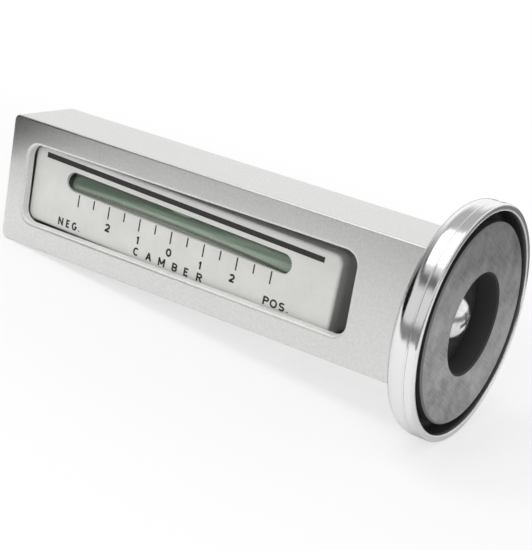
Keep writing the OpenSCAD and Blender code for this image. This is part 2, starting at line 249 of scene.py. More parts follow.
# ---------------------------------------------------------------- colour and node helpers


def linear(code: str) -> tuple[float, float, float, float]:
    """Turns an sRGB hex colour into the linear colour a shader wants.

    Args:
        code: Six hex digits, such as "d8d6cf".

    Returns:
        Red, green, blue and an alpha of one, all linear.
    """
    parts = [int(code[i : i + 2], 16) / 255 for i in (0, 2, 4)]
    curve = [c / 12.92 if c <= 0.04045 else ((c + 0.055) / 1.055) ** 2.4 for c in parts]
    return (*curve, 1.0)


class Graph:
    """Node tree of one material or world, filled node by node."""

    def __init__(self, owner: bpy.types.Material | bpy.types.World) -> None:
        owner.use_nodes = True
        self.tree = owner.node_tree
        self.tree.nodes.clear()

    def add(self, kind: str, settings: dict | None = None, inputs: dict | None = None) -> bpy.types.Node:
        """Adds one node.

        Args:
            kind: Node type without its "ShaderNode" prefix.
            settings: Properties of the node.
            inputs: Input name or index, each with a constant or the output socket that feeds it.

        Returns:
            The new node.
        """
        node = self.tree.nodes.new("ShaderNode" + kind)
        for key, value in (settings or {}).items():
            setattr(node, key, value)
        for key, value in (inputs or {}).items():
            if isinstance(value, bpy.types.NodeSocket):
                self.tree.links.new(value, node.inputs[key])
            else:
                node.inputs[key].default_value = value
        return node

    def math(self, operation: str, a: float | bpy.types.NodeSocket, b: float | bpy.types.NodeSocket = 0.0,
             clamp: bool = False) -> bpy.types.NodeSocket:
        """One arithmetic node; returns its output."""
        node = self.add("Math", {"operation": operation, "use_clamp": clamp}, {0: a, 1: b})
        return node.outputs[0]

    def spread(self, value: float | bpy.types.NodeSocket, low: float, high: float,
               to_low: float | bpy.types.NodeSocket,
               to_high: float | bpy.types.NodeSocket) -> bpy.types.NodeSocket:
        """Maps a value from one range to another and clamps it; returns the output."""
        node = self.add("MapRange", {"clamp": True}, {
            "Value": value, "From Min": low, "From Max": high, "To Min": to_low, "To Max": to_high})
        return node.outputs["Result"]

    def blend(self, factor, a, b) -> bpy.types.NodeSocket:
        """Mixes two colours; returns the output."""
        node = self.add("MixRGB", {"blend_type": "MIX"}, {0: factor, 1: a, 2: b})
        return node.outputs[0]

    def from_axis(self, axes: bpy.types.Node) -> bpy.types.NodeSocket:
        """Distance from the magnet's axis, the root of Y squared and Z squared; returns the output."""
        squares = [self.math("POWER", axes.outputs[name], 2.0) for name in ("Y", "Z")]
        return self.math("SQRT", self.math("ADD", *squares))

    def place_mm(self, stretch: tuple[float, float, float] = (1.0, 1.0, 1.0)) -> bpy.types.NodeSocket:
        """Position in the frame in millimetres, each axis times its stretch."""
        here = self.add("TexCoord").outputs["Object"]
        scale = tuple(s / MM for s in stretch)
        return self.add("VectorMath", {"operation": "MULTIPLY"}, {0: here, 1: scale}).outputs[0]

    def noise(self, where: bpy.types.NodeSocket, size_mm: float, detail: float = 2.0,
              roughness: float = 0.5) -> bpy.types.NodeSocket:
        """Noise whose features are about `size_mm` across; returns its value output."""
        node = self.add("TexNoise", None, {
            "Vector": where, "Scale": 1.0 / size_mm, "Detail": detail, "Roughness": roughness})
        return node.outputs["Fac"]

    def bump(self, height, depth_mm: float, normal=None) -> bpy.types.NodeSocket:
        """Bump of a 0 to 1 height that stands `depth_mm` deep; returns the normal output."""
        inputs = {"Height": height, "Distance": depth_mm * MM, "Strength": 1.0}
        if normal is not None:
            inputs["Normal"] = normal
        return self.add("Bump", None, inputs).outputs["Normal"]


# ---------------------------------------------------------------- finishes


@dataclass(frozen=True)
class SolidFinish:
    """Opaque finish: a mottled colour, a fine grain and a roughness that wanders.

    Colours are sRGB hex, sizes and depths millimetres. `stretch` draws the grain out along an axis
    with a value below one. `edge` is the radius of the softened edges, and `brushed` the share of
    long streaks along X in the colour. `raw_box` holds a box, x0, x1, half height z and the front
    y, within which the surface is left as cast and dull.
    """

    name: str
    dark: str
    light: str
    metallic: float
    roughness: float
    roughness_spread: float
    mottle_mm: float
    grain_mm: float
    grain_depth: float
    stretch: tuple[float, float, float] = (1.0, 1.0, 1.0)
    edge: float = 0.12
    brushed: float = 0.0
    raw_box: tuple[float, ...] = ()

    def material(self) -> bpy.types.Material:
        """Builds the node material of this finish."""
        made = bpy.data.materials.new(self.name)
        g = Graph(made)
        where = g.place_mm()
        mottle = g.noise(where, self.mottle_mm, 5.0, 0.7)
        streaks = g.noise(g.place_mm((0.03, 1.0, 1.0)), 0.7, 3.0, 0.6)
        tone = g.math("ADD", g.math("MULTIPLY", mottle, 1.0 - self.brushed),
                      g.math("MULTIPLY", streaks, self.brushed))
        colour = g.blend(g.spread(tone, 0.32, 0.68, 0.0, 1.0), linear(self.dark), linear(self.light))
        grain = g.noise(g.place_mm(self.stretch), self.grain_mm, 3.0, 0.6)
        rough = g.spread(g.noise(where, self.mottle_mm * 0.4, 4.0), 0.3, 0.7,
                         self.roughness - self.roughness_spread, self.roughness + self.roughness_spread)
        soft = g.add("Bevel", {"samples": 4}, {"Radius": self.edge * MM}).outputs[0]
        metallic = self.metallic
        if self.raw_box:
            raw = self.inside(g, where)
            metallic = g.math("SUBTRACT", self.metallic, g.math("MULTIPLY", raw, 0.6))
            rough = g.math("ADD", rough, g.math("MULTIPLY", raw, 0.3))
        shader = g.add("BsdfPrincipled", None, {
            "Base Color": colour, "Metallic": metallic, "Roughness": rough,
            "Normal": g.bump(grain, self.grain_depth, soft)})
        g.add("OutputMaterial", None, {"Surface": shader.outputs[0]})
        return made

    def inside(self, g: Graph, where: bpy.types.NodeSocket) -> bpy.types.NodeSocket:
        """One within the raw box, nought outside it, with a soft step of 0.3 mm at its front."""
        x0, x1, half_z, front = self.raw_box
        axes = g.add("SeparateXYZ", None, {0: where})
        beyond = g.math("MULTIPLY", g.math("GREATER_THAN", axes.outputs["X"], x0),
                        g.math("LESS_THAN", axes.outputs["X"], x1))
        level = g.math("LESS_THAN", g.math("ABSOLUTE", axes.outputs["Z"]), half_z)
        return g.math("MULTIPLY", g.math("MULTIPLY", beyond, level),
                      g.spread(axes.outputs["Y"], front, front + 0.3, 0.0, 1.0))


@dataclass(frozen=True)
class PotChrome:
    """Chrome plate of the pot magnet: bright outside; inside the pot dull, dust-mottled and darkened with
    painted shade.

    `lip_radius` is where the inside begins, in millimetres from the axis, and `floor_depth` where it
    ends; the inside's colour is painted shade, which darkens with depth from the grey of its wall
    to the dust-mottled dark reached below `deep_from`; `turned_scale` is the number of turned lines
    in a millimetre; `line_at`, `line_width` and `line_depth` shape the rolled line, `ripple_mm` and
    `ripple_depth` the waves that pressing leaves.
    """

    name: str = "pot_chrome"
    bright: str = "f4f4f5"
    # Painted shade inside the pot: the wall grey just below the lip, and a dark tone with a dust mottle
    # deeper down
    inside_dark: str = "383839"
    inside_light: str = "5c5c5c"
    wall: str = "8f8f8f"
    lip_radius: float = 31.6
    lip_depth: float = 0.3
    deep_from: float = 1.6
    floor_depth: float = 8.7
    turned_scale: float = 14.0
    lip_round: float = 0.9
    roughness: float = 0.13
    line_at: float = 2.6
    line_width: float = 0.45
    line_depth: float = 0.05
    ripple_mm: float = 9.0
    ripple_depth: float = 0.02

    def material(self) -> bpy.types.Material:
        """Builds the node material, with the inside told from the outside by its place."""
        made = bpy.data.materials.new(self.name)
        g = Graph(made)
        where = g.place_mm()
        axes = g.add("SeparateXYZ", None, {0: where})
        radius = g.from_axis(axes)
        inside = g.math("MULTIPLY", g.math("LESS_THAN", radius, self.lip_radius),
                        g.math("LESS_THAN", axes.outputs["X"], -self.lip_depth))
        inside = g.math("MULTIPLY", inside, g.math("GREATER_THAN", axes.outputs["X"], -self.floor_depth))
        turned = g.add("CombineXYZ", None, {
            0: g.math("MULTIPLY", axes.outputs["X"], self.turned_scale),
            1: g.math("MULTIPLY", radius, self.turned_scale), 2: 0.0}).outputs[0]
        lines = g.noise(turned, 1.0, 2.0)
        ripple = g.noise(where, self.ripple_mm, 1.0)
        # The whole inside colour is painted shade: wall grey below the lip, darkening with depth into a dark
        # tone mottled like dust
        dust = g.noise(where, 0.5, 4.0, 0.7)
        dust_and_shade = g.blend(g.spread(dust, 0.35, 0.65, 0.0, 1.0),
                        linear(self.inside_dark), linear(self.inside_light))
        deep = g.spread(axes.outputs["X"], -self.lip_depth, -self.deep_from, 0.0, 1.0)
        colour = g.blend(inside, linear(self.bright), g.blend(deep, linear(self.wall), dust_and_shade))
        outside_rough = g.spread(g.noise(where, 2.5, 4.0, 0.6), 0.4, 0.75,
                                 self.roughness, self.roughness + 0.07)
        rough = g.math("ADD", outside_rough, g.math("MULTIPLY", inside, 0.4))
        lip = g.spread(axes.outputs["X"], -1.3, -1.0, 0.05 * MM, self.lip_round * MM)
        round_lip = g.add("Bevel", {"samples": 6}, {"Radius": lip}).outputs[0]
        from_line = g.math("ABSOLUTE", g.math("ADD", axes.outputs["X"], self.line_at))
        line = g.add("MapRange", {"interpolation_type": "SMOOTHSTEP"}, {
            "Value": from_line, "From Min": 0.0, "From Max": self.line_width}).outputs["Result"]
        pressed = g.bump(line, self.line_depth, g.bump(ripple, self.ripple_depth, round_lip))
        normal = g.bump(lines, 0.0004, pressed)
        shader = g.add("BsdfPrincipled", None, {
            "Base Color": colour, "Metallic": g.spread(inside, 0.0, 1.0, 1.0, 0.3), "Roughness": rough,
            "Specular IOR Level": 0.2, "Normal": normal})
        g.add("OutputMaterial", None, {"Surface": shader.outputs[0]})
        return made


@dataclass(frozen=True)
class Sinter:
    """Ferrite: its ground face is cloudy grey with fine marks that run one way, its sides are raw.

    Sizes in millimetres; `mark_angle` is the marks' slope in degrees across the ring's face, and
    outside `corner_radius` the chamfers have the `corner` colour.
    """

    name: str = "sintered_ferrite"
    dark: str = "454546"
    light: str = "999999"
    raw: str = "454546"
    corner: str = "868686"
    cloud_mm: float = 7.0
    speck_mm: float = 0.35
    mark_angle: float = 32.0
    mark_mm: float = 0.4
    corner_radius: float = 21.0

    def material(self) -> bpy.types.Material:
        """Builds the node material."""
        made = bpy.data.materials.new(self.name)
        g = Graph(made)
        where = g.place_mm()
        clouds = g.noise(where, self.cloud_mm, 4.0, 0.6)
        specks = g.noise(where, self.speck_mm, 3.0, 0.6)
        turned = g.add("VectorRotate", {"rotation_type": "X_AXIS"}, {
            "Vector": where, "Angle": math.radians(self.mark_angle)}).outputs[0]
        drawn = g.add("VectorMath", {"operation": "MULTIPLY"}, {0: turned, 1: (0.2, 0.05, 1.0)}).outputs[0]
        marks = g.noise(drawn, self.mark_mm, 3.0, 0.6)
        tone = g.math("ADD", g.math("MULTIPLY", clouds, 0.5),
                      g.math("ADD", g.math("MULTIPLY", marks, 0.3), g.math("MULTIPLY", specks, 0.2)))
        facing = g.add("SeparateXYZ", None, {0: g.add("NewGeometry").outputs["Normal"]}).outputs["X"]
        ground = g.spread(facing, 0.9, 0.97, 0.0, 1.0)
        axes = g.add("SeparateXYZ", None, {0: where})
        radius = g.from_axis(axes)
        corner = g.math("MULTIPLY", g.math("GREATER_THAN", radius, self.corner_radius),
                        g.math("GREATER_THAN", facing, 0.3))
        sides = g.blend(corner, linear(self.raw), linear(self.corner))
        colour = g.blend(ground, sides, g.blend(
            g.spread(tone, 0.38, 0.62, 0.0, 1.0), linear(self.dark), linear(self.light)))
        rough = g.spread(g.math("MULTIPLY", ground, g.spread(tone, 0.4, 0.6, 0.9, 1.0)),
                         0.0, 1.0, 0.8, 0.3)
        normal = g.bump(specks, 0.03, g.bump(marks, 0.03))
        shader = g.add("BsdfPrincipled", None, {
            "Base Color": colour, "Metallic": 0.0, "Roughness": rough,
            "IOR": g.spread(ground, 0.0, 1.0, 1.25, 2.3), "Normal": normal})
        g.add("OutputMaterial", None, {"Surface": shader.outputs[0]})
        return made


@dataclass(frozen=True)
class ClearTube:
    """Clear glass or air: lets light straight through and shines by its Fresnel share.

    Where a tube's wall turns away from the eye, refraction shows what fills the tube and not what
    stands behind its wall; `edge_tone` is that colour, and `edge_share` how much of it is seen.
    The change runs from `turn_from` to `turn_to`, from facing the eye at nought to edge on at one.
    `face_share` is how much of it is seen where the wall faces the eye, as on a bubble, whose skin
    sends back the light that comes up through the liquid.
    """

    name: str
    tint: str
    index: float
    roughness: float
    haze: float
    edge_tone: str = "ffffff"
    edge_share: float = 0.0
    face_share: float = 0.0
    turn_from: float = 0.26
    turn_to: float = 0.42

    def material(self) -> bpy.types.Material:
        """Builds the node material."""
        made = bpy.data.materials.new(self.name)
        g = Graph(made)
        where = g.place_mm((0.1, 1.0, 1.0))
        draw_lines = g.noise(where, 1.2, 2.0)
        normal = g.bump(draw_lines, 0.004)
        shine = g.add("Fresnel", None, {"IOR": self.index, "Normal": normal}).outputs[0]
        share = g.math("ADD", shine, self.haze, clamp=True)
        through = g.add("BsdfTransparent", None, {"Color": linear(self.tint)}).outputs[0]
        gloss = g.add("BsdfGlossy", None, {
            "Color": (1.0, 1.0, 1.0, 1.0), "Roughness": self.roughness, "Normal": normal}).outputs[0]
        edge = g.add("BsdfDiffuse", None, {"Color": linear(self.edge_tone)}).outputs[0]
        facing = g.add("LayerWeight", None, {"Blend": 0.5}).outputs["Facing"]
        turned = g.spread(facing, self.turn_from, self.turn_to, self.face_share, self.edge_share)
        body = g.add("MixShader", None, {0: turned, 1: through, 2: edge}).outputs[0]
        mixed = g.add("MixShader", None, {0: share, 1: body, 2: gloss})
        g.add("OutputMaterial", None, {"Surface": mixed.outputs[0]})
        return made


@dataclass(frozen=True)
class DarkLiquid:
    """Tinted liquid seen through the tube: a deep tone, painted paler where its surface faces the light from
    below and painted darker towards its left end as shade.
    """

    name: str = "vial_liquid_tint"
    deep: str = "8c9189"
    pale: str = "e4e9df"
    streak_mm: float = 1.1
    glow_mm: float = 2.5
    # Between these two x values the liquid's painted shade at its left end lightens towards the right
    painted_shade_x0: float = -138.0
    painted_shade_x1: float = -60.0

    def material(self) -> bpy.types.Material:
        """Builds the node material, painted paler as light where the surface turns down to the lit slot wall.
        """
        made = bpy.data.materials.new(self.name)
        g = Graph(made)
        where = g.place_mm()
        up = g.add("SeparateXYZ", None, {0: g.add("NewGeometry").outputs["Normal"]}).outputs["Z"]
        clouds = g.noise(g.place_mm((0.05, 1.0, 1.0)), self.streak_mm, 4.0, 0.65)
        # Painted shade: darker towards the left end of the vial, lighter towards the right
        along = g.spread(g.add("SeparateXYZ", None, {0: where}).outputs["X"], self.painted_shade_x0, self.painted_shade_x1,
                         -0.22, 0.12)
        # Painted light: paler where the surface faces down to the lit slot wall; the clouds add tone at
        # random
        painted_light_shade = g.math("ADD", g.math("ADD", g.spread(up, 0.3, -0.5, 0.1, 1.0), along),
                      g.math("MULTIPLY", g.math("SUBTRACT", clouds, 0.5), 1.1), clamp=True)
        shader = g.add("BsdfPrincipled", None, {
            "Base Color": g.blend(painted_light_shade, linear(self.deep), linear(self.pale)),
            "Roughness": g.spread(clouds, 0.3, 0.7, 0.4, 0.55), "IOR": 1.36, "Specular IOR Level": 0.2,
            "Subsurface Weight": 1.0, "Subsurface Radius": (1.0, 1.0, 1.0),
            "Subsurface Scale": self.glow_mm * MM,
            "Normal": g.bump(g.noise(where, 0.8, 2.0), 0.004)})
        g.add("OutputMaterial", None, {"Surface": shader.outputs[0]})
        return made


FINISHES: dict[str, SolidFinish | PotChrome | Sinter | ClearTube | DarkLiquid] = {
    "bar_metal": SolidFinish("satin_bar", "e1e1df", "f1f1ef", 1.0, 0.38, 0.05, 0.8, 0.25, 0.014, brushed=0.1,
                             raw_box=(-150.2, -30.3, 13.4, -12.66)),
    "cover_metal": SolidFinish("rolled_plate", "bababa", "c8c8c7", 1.0, 0.38, 0.06, 1.2, 0.25, 0.006,
                               (0.04, 1.0, 1.0), brushed=0.6),
    "screw_steel": SolidFinish("zinc_plate", "9a9b9e", "b9babc", 1.0, 0.32, 0.08, 1.5, 0.12, 0.003),
    "stud_steel": SolidFinish("turned_steel", "85868a", "a5a6aa", 1.0, 0.30, 0.06, 1.2, 0.15, 0.003),
    "washer_plastic": SolidFinish("washer_nylon", "dcdad2", "e9e7e0", 0.0, 0.5, 0.05, 3.0, 0.3, 0.004),
    "dial_plastic": SolidFinish("dial_moulding", "cfcfcc", "d9d9d6", 0.0, 0.36, 0.05, 12.0, 0.5, 0.006,
                                edge=0.15),
    "vial_glass": ClearTube("tube_glass", "f4f8f5", 1.30, 0.22, 0.0, "a8aea3", 0.95),
    "vial_fluid": DarkLiquid(),
    "bubble_air": ClearTube("bubble_skin", "f4f7f5", 1.25, 0.05, 0.05, "eef1ea", 0.6, 0.6),
    "plug_rubber": SolidFinish("plug_rubber", "757576", "868687", 0.0, 0.6, 0.08, 2.0, 0.3, 0.01),
    "pad_rubber": SolidFinish("pad_foam", "4a4a4b", "5a5a5b", 0.0, 0.75, 0.08, 1.0, 0.4, 0.05),
    "nut_brass": SolidFinish("nut_brass", "a98a4b", "c9ab67", 1.0, 0.28, 0.06, 2.0, 0.2, 0.004),
    "spring_steel": SolidFinish("spring_wire", "6b6c70", "8a8b8f", 1.0, 0.35, 0.06, 0.8, 0.1, 0.003),
    "cup_chrome": PotChrome(),
    "ferrite": Sinter(),
    "head_steel": SolidFinish("bright_head", "dcdcdc", "f2f2f2", 1.0, 0.2, 0.05, 1.5, 0.2, 0.003),
}

INK = SolidFinish("dial_ink", "1f1f20", "323233", 0.0, 0.55, 0.08, 0.8, 0.12, 0.006, edge=0.01)


# ---------------------------------------------------------------- mesh helpers


def object_of(name: str, points: np.ndarray, faces: list, smooth: bool = True) -> bpy.types.Object:
    """Makes a mesh object from points and faces and links it to the scene.

    Args:
        name: Name of the object and its mesh.
        points: Array (n, 3) in metres.
        faces: Vertex index lists.
        smooth: Whether the faces are shaded smooth.

    Returns:
        The new object, standing at the origin.
    """
    mesh = bpy.data.meshes.new(name)
    mesh.from_pydata(points.reshape(-1, 3).tolist(), [], faces)
    mesh.polygons.foreach_set("use_smooth", np.full(len(mesh.polygons), smooth))
    mesh.validate()
    made = bpy.data.objects.new(name, mesh)
    bpy.context.scene.collection.objects.link(made)
    return made


def grid_faces(rows: int, columns: int, close_columns: bool) -> np.ndarray:
    """Quads of a grid of points, as an array (n, 4) of indices, row by row."""
    last = columns if close_columns else columns - 1
    r, c = np.meshgrid(np.arange(rows - 1), np.arange(last), indexing="ij")
    n = (c + 1) % columns
    return np.stack([r * columns + c, r * columns + n, (r + 1) * columns + n, (r + 1) * columns + c],
                    axis=-1).reshape(-1, 4)


def tube_faces(rows: int, columns: int) -> list:
    """Faces of a closed tube of rings of points, with a cap on its first and its last ring."""
    first, last = range(columns), range((rows - 1) * columns, rows * columns)
    return [*grid_faces(rows, columns, True)[:, ::-1].tolist(), list(first), list(last)[::-1]]


def finish_piece(piece: bpy.types.Object, body: Body, look: bpy.types.Material) -> None:
    """Gives a piece its material and the body it moves with."""
    piece.data.materials.clear()
    piece.data.materials.append(look)
    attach(piece, body.value)
    log.info("%s: %d faces, rides on %s", piece.name, len(piece.data.polygons), body.value)


# ---------------------------------------------------------------- dial print


def arc(x: float, z: float, rx: float, rz: float, start: float, end: float) -> np.ndarray:
    """Points of an elliptic arc in a glyph's unit box.

    Args:
        x: Centre across the glyph, 0 to 1.
        z: Centre up the glyph, 0 to 1.
        rx: Half width.
        rz: Half height.
        start: First angle in degrees, counted from the right, upwards.
        end: Last angle.

    Returns:
        Array (n, 2), a point about every twelve degrees.
    """
    a = np.radians(np.linspace(start, end, max(3, int(abs(end - start) / 12) + 1)))
    return np.stack([x + rx * np.cos(a), z + rz * np.sin(a)], axis=-1)


def glyph_paths(text: str) -> list[np.ndarray]:
    """Pen paths of one character in its unit box, as arrays (n, 2)."""
    upper_bowl = [(0, 0), (0, 1), *arc(0.5, 0.75, 0.5, 0.25, 90, -90), (0, 0.5)]
    oval = arc(0.5, 0.5, 0.5, 0.5, 90, 450)
    paths = {
        "0": [oval],
        "O": [oval],
        "1": [[(0.0, 0.72), (0.62, 0.97)], [(0.62, 1.1), (0.62, -0.12)]],
        "2": [[*arc(0.5, 0.7, 0.48, 0.3, 165, -35), (0, 0)], [(-0.15, 0), (1.1, 0)]],
        "A": [[(0, -0.1), (0.52, 1.1)], [(0.48, 1.1), (1, -0.1)], [(0.2, 0.32), (0.8, 0.32)]],
        "B": [upper_bowl, [*arc(0.5, 0.25, 0.5, 0.25, 90, -90), (0, 0)]],
        "C": [arc(0.5, 0.5, 0.5, 0.5, 48, 312)],
        "E": [[(1, 1), (0, 1), (0, 0), (1, 0)], [(0, 0.52), (0.85, 0.52)]],
        "G": [[*arc(0.5, 0.5, 0.5, 0.5, 48, 345), (1, 0.45), (0.6, 0.45)]],
        "M": [[(0, -0.12), (0, 1.12)], [(0, 1), (0.5, 0.2)], [(0.5, 0.2), (1, 1)], [(1, 1.12), (1, -0.12)]],
        "N": [[(0, -0.12), (0, 1.12)], [(0, 1), (1, 0)], [(1, -0.12), (1, 1.12)]],
        "P": [upper_bowl, [(0, 0.1), (0, -0.12)]],
        "R": [upper_bowl, [(0, 0.1), (0, -0.12)], [(0.45, 0.5), (1.05, -0.1)]],
        "S": [[*arc(0.5, 0.75, 0.46, 0.25, 30, 270), *arc(0.5, 0.25, 0.5, 0.25, 90, -150)[1:]]],
        ".": [[(0, 0), (0, 0.14)]],
    }
    return [np.array(path, dtype=float) for path in paths[text]]


class DialPrint:
    """The black print on the dial's face: rule, ticks, numbers and words."""

    def __init__(self, sizes: ScalePrint, seat: CarrierSeat, ink: bpy.types.Material) -> None:
        self.sizes = sizes
        self.seat = seat
        self.ink = ink

    def ribbon(self, path: np.ndarray, half: float) -> tuple[np.ndarray, np.ndarray]:
        """Thin closed plate that follows a pen path.

        Both edges lie half a stroke off the path, square to it; at a bend they lie on the mitre,
        whose reach is cut off at 1.7 half strokes.

        Args:
            path: Array (n, 2) of x and z in millimetres; closed if its ends meet.
            half: Half the stroke's width.

        Returns:
            Points (4 n, 3) of the level dial block in millimetres, and faces as index quads.
        """
        step = np.diff(path, axis=0)
        step /= np.linalg.norm(step, axis=1, keepdims=True)
        closed = np.allclose(path[0], path[-1])
        before = np.vstack([step[-1:] if closed else step[:1], step])
        after = np.vstack([step, step[:1] if closed else step[-1:]])
        square = np.stack([-after[:, 1], after[:, 0]], axis=-1)
        mitre = square + np.stack([-before[:, 1], before[:, 0]], axis=-1)
        mitre /= np.linalg.norm(mitre, axis=1, keepdims=True) + 1e-9
        reach = half * np.clip(1 / np.maximum(np.sum(mitre * square, axis=1), 0.1), 1.0, 1.7)[:, None]
        edges = np.concatenate([path + mitre * reach, path - mitre * reach])
        n = len(path)
        depth = np.full(2 * n, self.seat.face_y - self.sizes.film)
        front = np.stack([edges[:, 0], depth, edges[:, 1]], axis=-1)
        points = np.concatenate([front, front + np.array([0.0, self.sizes.film, 0.0])])
        i = np.arange(n - 1)
        left, right, left_back, right_back = i, i + n, i + 2 * n, i + 3 * n
        faces = [np.stack([right, right + 1, left + 1, left], axis=-1),
                 np.stack([left_back, left_back + 1, right_back + 1, right_back], axis=-1),
                 np.stack([left, left + 1, left_back + 1, left_back], axis=-1),
                 np.stack([right_back, right_back + 1, right + 1, right], axis=-1)]
        if not closed:
            faces.append(np.array([[n, 0, 2 * n, 3 * n], [2 * n - 1, 4 * n - 1, 3 * n - 1, n - 1]]))
        return points, np.concatenate(faces)

    def place(self, letter: Letter, z: float, stroke: float) -> list[tuple[np.ndarray, float]]:
        """Pen paths of one glyph in its place, each with its half stroke."""
        s = self.sizes
        size = np.array([max(letter.width - stroke, 1e-3), s.glyph_height - stroke])
        low = np.array([letter.x - size[0] / 2, z - size[1] / 2])
        return [(low + path * size, stroke / 2) for path in glyph_paths(letter.text)]

    def print_piece(self, name: str, paths: list[tuple[np.ndarray, float]]) -> None:
        """Makes one printed piece of many ribbons."""
        points, faces, start = [], [], 0
        for path, half in paths:
            own_points, own_faces = self.ribbon(path, half)
            points.append(own_points)
            faces.append(own_faces + start)
            start += len(own_points)
        placed = self.seat.place(np.concatenate(points))
        piece = object_of(name, placed, np.concatenate(faces).tolist(), False)
        finish_piece(piece, Body.CARRIER, self.ink)

    def build(self) -> None:
        """Makes the four printed pieces."""
        s = self.sizes
        ticks = []
        for k in range(-s.ticks_each_way, s.ticks_each_way + 1):
            x = s.zero_x + s.half_degree * k
            low = s.tick_top_z - (s.long_tick if k % 2 == 0 else s.short_tick)
            ticks.append((np.array([(x, s.tick_top_z), (x, low)]), s.tick_width / 2))
        self.print_piece("scale_ticks", ticks)
        rule = np.array([(s.rule_x0, s.rule_z), (s.rule_x1, s.rule_z)])
        self.print_piece("scale_rule", [(rule, s.rule_height / 2)])
        self.print_piece("scale_numbers", [
            path for entry in NUMBERS for path in self.place(Letter(*entry), s.number_z, s.number_stroke)])
        self.print_piece("scale_words", [
            path for z, word in ((s.word_z, WORDS), (s.last_word_z, LAST_WORD))
            for entry in word for path in self.place(Letter(*entry), z, s.word_stroke)])


# ---------------------------------------------------------------- vial


class Vial:
    """The liquid that fills the arched tube, and the bubble that runs along its top."""

    def __init__(self, sizes: VialSizes, seat: CarrierSeat) -> None:
        self.sizes = sizes
        self.seat = seat

    def on_arch(self, along: np.ndarray, radius: np.ndarray, angle: np.ndarray) -> np.ndarray:
        """Points of the bent tube.

        Args:
            along: Arc length from the scale's zero, in millimetres.
            radius: Distance from the tube's bent axis.
            angle: Angle round the tube from its top, in radians, growing towards the back.

        Returns:
            Points in metres: the height over the axis is radius times cos(angle), the depth behind
            it radius times sin(angle), and the height adds to the arch's own radius.
        """
        s = self.sizes
        turn = along / s.arch_radius
        reach = s.arch_radius + radius * np.cos(angle)
        level = np.stack([s.x + reach * np.sin(turn), s.y + radius * np.sin(angle),
                          s.z - s.arch_radius + reach * np.cos(turn)], axis=-1)
        return self.seat.place(level)

    def filling(self, look: bpy.types.Material) -> bpy.types.Object:
        """Closed body of liquid, rounded at both ends, a hair smaller than the bore."""
        s = self.sizes
        rows, columns = 65, 48
        t = np.linspace(-1.0, 1.0, rows)
        along = t * s.filling_length / 2
        edge = s.filling_end_round
        inset = np.clip((np.abs(along) - (s.filling_length / 2 - edge)) / edge, 0.0, 1.0)
        radius = s.bore_radius - s.filling_gap - edge * (1 - np.sqrt(1 - 0.999 * inset**2))
        angle = np.linspace(0, 2 * math.pi, columns, endpoint=False)
        points = self.on_arch(along[:, None] + 0 * angle, radius[:, None] + 0 * angle,
                              angle + 0 * along[:, None])
        piece = object_of("vial_filling", points, tube_faces(rows, columns))
        finish_piece(piece, Body.CARRIER, look)
        return piece

    def bubble(self, look: bpy.types.Material) -> bpy.types.Object:
        """Lens of air under the top of the bore, with a long oval outline."""
        s = self.sizes
        rings, spokes = 14, 72
        rho = np.linspace(0.02, 1.0, rings)[:, None]
        psi = np.linspace(0, 2 * math.pi, spokes, endpoint=False)[None, :]
        a = np.sign(np.cos(psi)) * np.abs(np.cos(psi)) ** s.bubble_squareness
        b = np.sign(np.sin(psi)) * np.abs(np.sin(psi)) ** s.bubble_squareness
        along = rho * a * s.bubble_length / 2
        angle = rho * b * math.radians(s.bubble_half_angle)
        outer = self.on_arch(along, np.full_like(along, s.bore_radius - s.bubble_gap), angle)
        dip = s.bubble_dip * (1 - rho**2) + 0 * psi
        inner = self.on_arch(along, s.bore_radius - s.bubble_skin - dip, angle)
        points = np.concatenate([outer, inner]).reshape(-1, 3)
        top = grid_faces(rings, spokes, True)
        low = top[:, ::-1] + rings * spokes
        rim = np.arange(spokes)
        a0 = (rings - 1) * spokes + rim
        a1 = (rings - 1) * spokes + (rim + 1) % spokes
        side = np.stack([a0, a1, a1 + rings * spokes, a0 + rings * spokes], axis=-1)
        faces = np.concatenate([top, low, side]).tolist()
        faces.append(list(range(spokes))[::-1])
        faces.append(list(range(rings * spokes, rings * spokes + spokes)))
        piece = object_of("bubble_lens", points, faces)
        finish_piece(piece, Body.BUBBLE, look)
        return piece


# ---------------------------------------------------------------- spring


class CarrierSpring:
    """The spring round the zero screw: its foot stands on the bar's floor, its head under the dial."""

    def __init__(self, sizes: SpringSizes) -> None:
        self.sizes = sizes

    def build(self, look: bpy.types.Material) -> bpy.types.Object:
        """Makes the coiled wire.

        The wire's centre climbs evenly while it goes round, and its round section stands on the
        radius and the height of each place: centre + wire radius * (cos a * outward + sin a * up).
        """
        s = self.sizes
        rows, columns = s.turns * 48 + 1, 14
        t = np.linspace(0.0, 1.0, rows)[:, None]
        turn = 2 * math.pi * s.turns * t
        a = np.linspace(0, 2 * math.pi, columns, endpoint=False)[None, :]
        out = s.coil_radius + s.wire_radius * np.cos(a)
        points = np.stack([s.x + out * np.cos(turn), out * np.sin(turn),
                           s.low_z + s.height * t + s.wire_radius * np.sin(a)], axis=-1) * MM
        piece = object_of("coiled_spring", points, tube_faces(rows, columns))
        piece.data.materials.append(look)
        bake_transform(piece)
        log.info("%s: %d faces, blends from the housing to the carrier", piece.name, len(piece.data.polygons))
        return piece


# ---------------------------------------------------------------- studio


